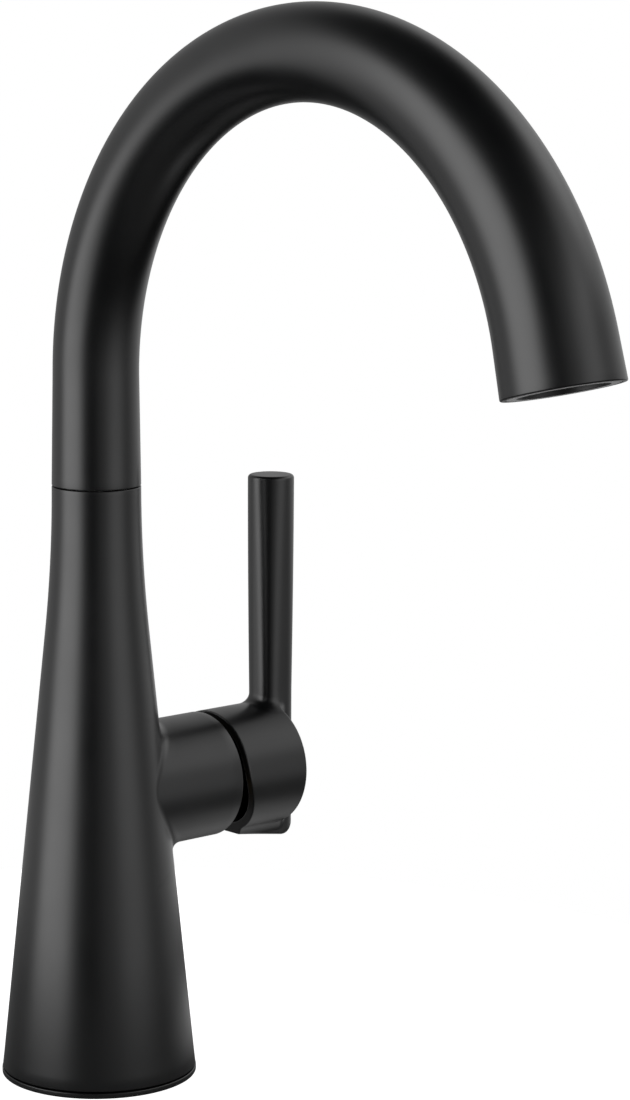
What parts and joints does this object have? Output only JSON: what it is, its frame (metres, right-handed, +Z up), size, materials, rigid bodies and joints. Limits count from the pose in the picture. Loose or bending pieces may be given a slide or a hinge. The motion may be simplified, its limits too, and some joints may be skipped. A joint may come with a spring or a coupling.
{
  "type": "gooseneck bar faucet",
  "caption": "Single-handle bar faucet with a conical body, a swivelling gooseneck spout that widens to its outlet, and an upright lever on a side hub.",
  "frame": {"origin": "centre of the base ring's underside, on the top of the deck", "axes": "+Z up along the body's axis, +X towards the spout's outlet, +Y along the handle's hub"},
  "size_m": [0.2453, 0.1095, 0.3964],
  "materials": {
    "black_finish": "matte",
    "brass": "satin",
    "steel": "satin",
    "rubber": "matte",
    "ceramic": "polished",
    "white_plastic": "matte",
    "grey_plastic": "satin",
    "black_plastic": "matte",
    "light_metal": "satin"
  },
  "bodies": {
    "faucet_body": {"base_ring": "black_finish", "deck_gasket": "rubber", "base_plate": "black_plastic", "base_screws": "steel", "mounting_shank": "brass", "rubber_washer": "rubber", "metal_washer": "steel", "mounting_nut": "brass", "body_shell": "black_finish", "valve_body": "brass", "valve_lock_ring": "brass", "cartridge_seals": "rubber", "cartridge_base": "white_plastic", "fixed_disc": "ceramic", "cartridge_housing": "white_plastic", "bonnet_nut": "brass", "spout_post": "brass", "post_seal": "rubber", "spout_o_rings": "rubber", "glide_ring": "white_plastic", "retaining_ring": "steel"},
    "mixing": {"rotating_sleeve": "grey_plastic", "stem_pin": "steel"},
    "disc": {"moving_disc": "ceramic", "disc_carrier": "grey_plastic"},
    "handle": {"handle_stem": "steel", "lever_handle": "black_finish", "set_screw": "steel", "screw_plug": "black_plastic"},
    "spout": {"spout_tube": "black_finish", "spout_bushing": "white_plastic", "outlet_insert": "light_metal", "aerator_washer": "rubber", "aerator_housing": "grey_plastic", "flow_restrictor": "white_plastic", "aerator_screens": "steel", "outlet_grid": "grey_plastic"}
  },
  "joints": [
    {"name": "spout_swivel", "type": "hinge", "parent": "faucet_body", "child": "spout", "pos_m": [0, 0, 0.1867], "axis": [0, 0, 1], "continuous": true},
    {"name": "temperature_turn", "type": "hinge", "parent": "faucet_body", "child": "mixing", "pos_m": [0, 0.0365, 0.0893], "axis": [0, 1, 0], "range_deg": [-45, 45]},
    {"name": "flow_tilt", "type": "hinge", "parent": "mixing", "child": "handle", "pos_m": [0, 0.0365, 0.0893], "axis": [-1, 0, 0], "range_deg": [0, 20]},
    {"name": "disc_slide", "type": "slide", "parent": "mixing", "child": "disc", "axis": [0, 0, 1], "range_m": [0, 0.0027]}
  ],
  "couplings": [
    {"joint": "disc_slide", "follows": "flow_tilt", "m_per_rad": 0.007643}
  ]
}
